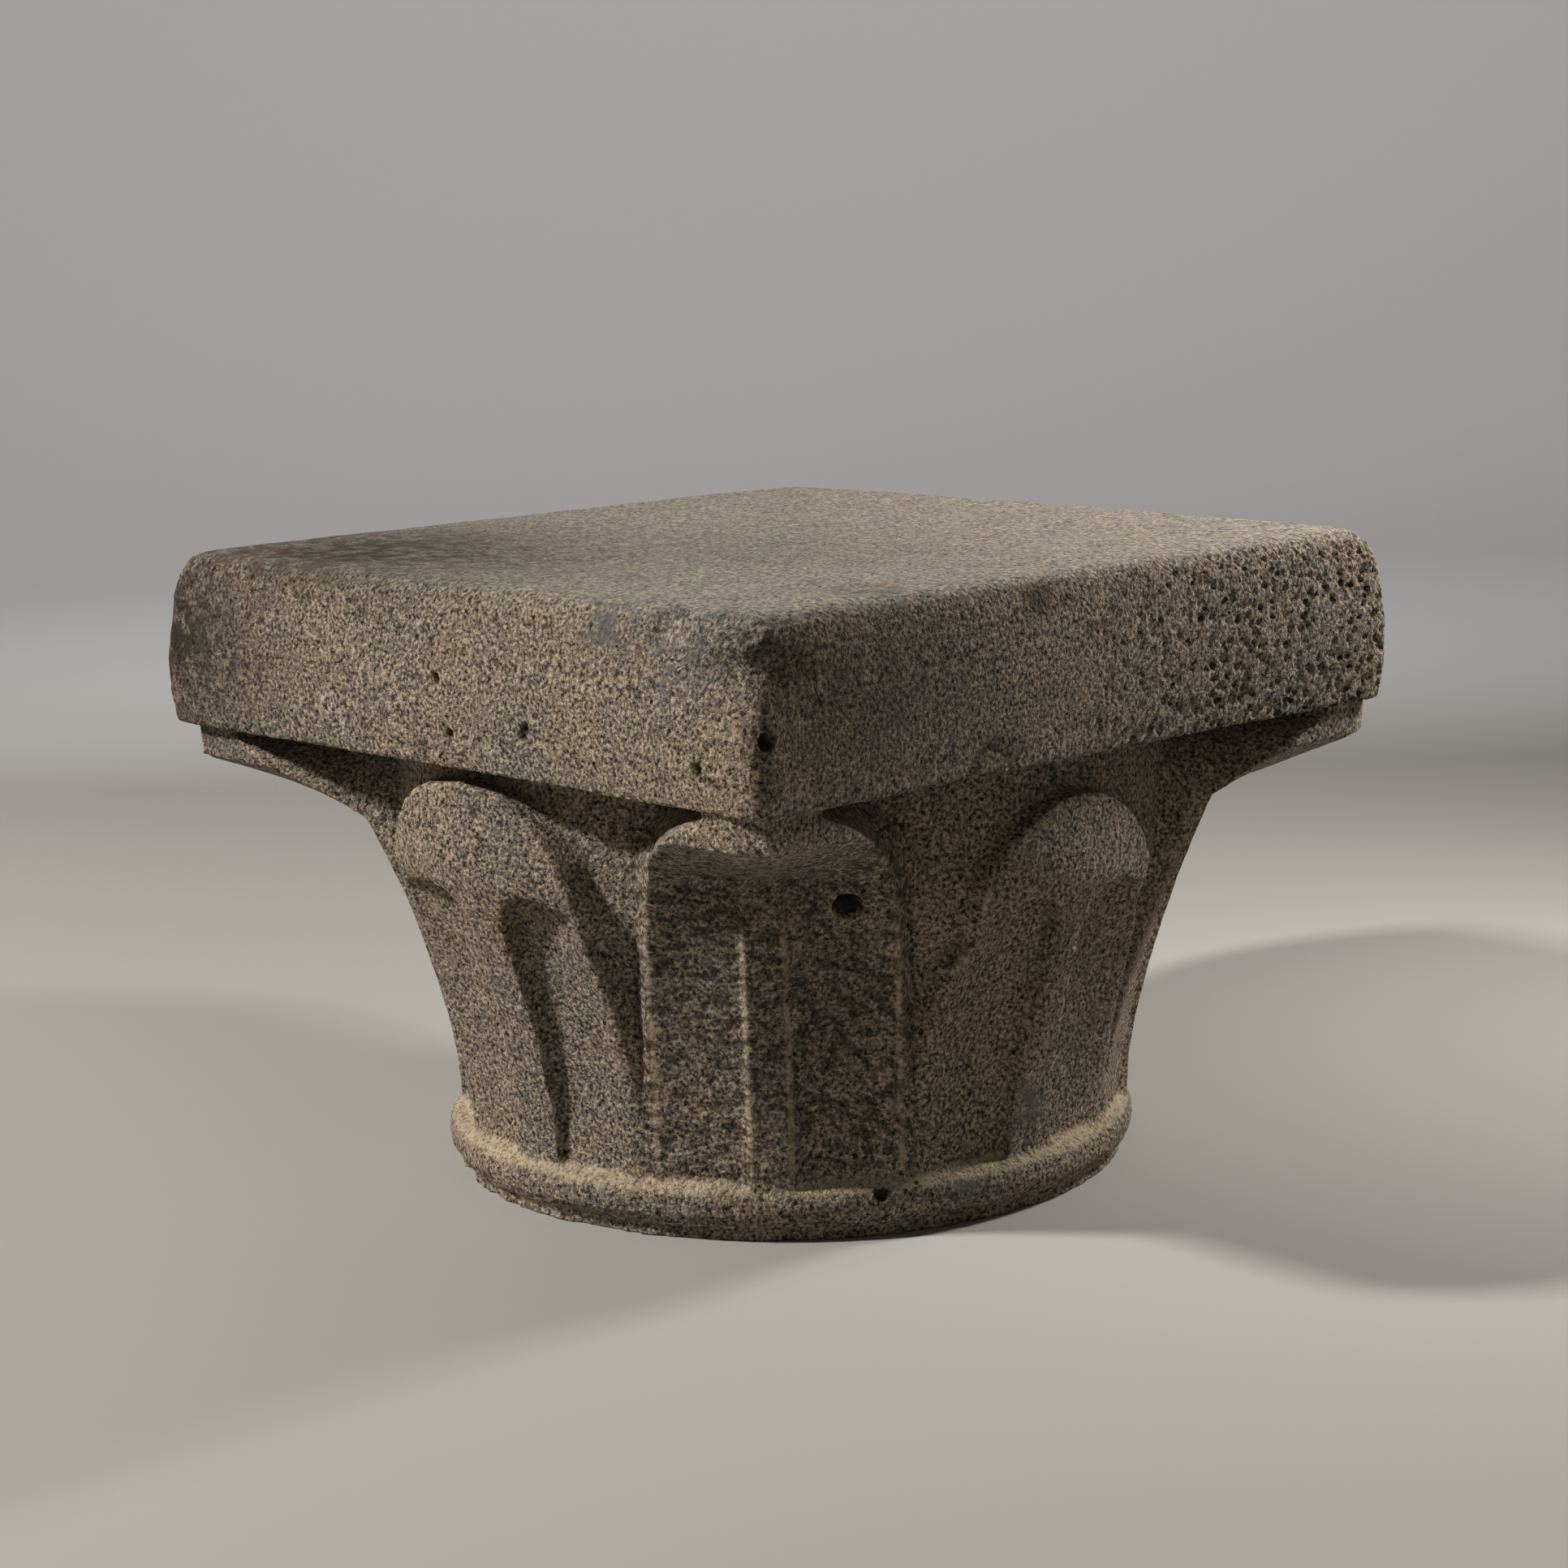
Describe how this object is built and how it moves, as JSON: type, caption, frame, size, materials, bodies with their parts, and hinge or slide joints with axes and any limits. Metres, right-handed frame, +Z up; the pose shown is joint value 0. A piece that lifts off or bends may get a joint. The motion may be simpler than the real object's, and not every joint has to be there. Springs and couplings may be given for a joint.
{
  "type": "basalt capital",
  "caption": "Square-topped stone capital carved from one block: a plain abacus over a round flaring bell with broad leaves and a ring at its foot, to crown a round column.",
  "frame": {"origin": "centre of the round underside that the capital stands on", "axes": "+Z up through the bell to the abacus; +X and -Y look out through two neighbouring faces of the abacus, and the corner between them faces the camera of the picture"},
  "size_m": [0.5647, 0.5647, 0.401],
  "materials": {
    "basalt": "matt weathered vesicular basalt, brown-grey, tooled and pitted, with beige dust in its hollows"
  },
  "bodies": {
    "root": {"capital": "basalt"}
  },
  "joints": []
}
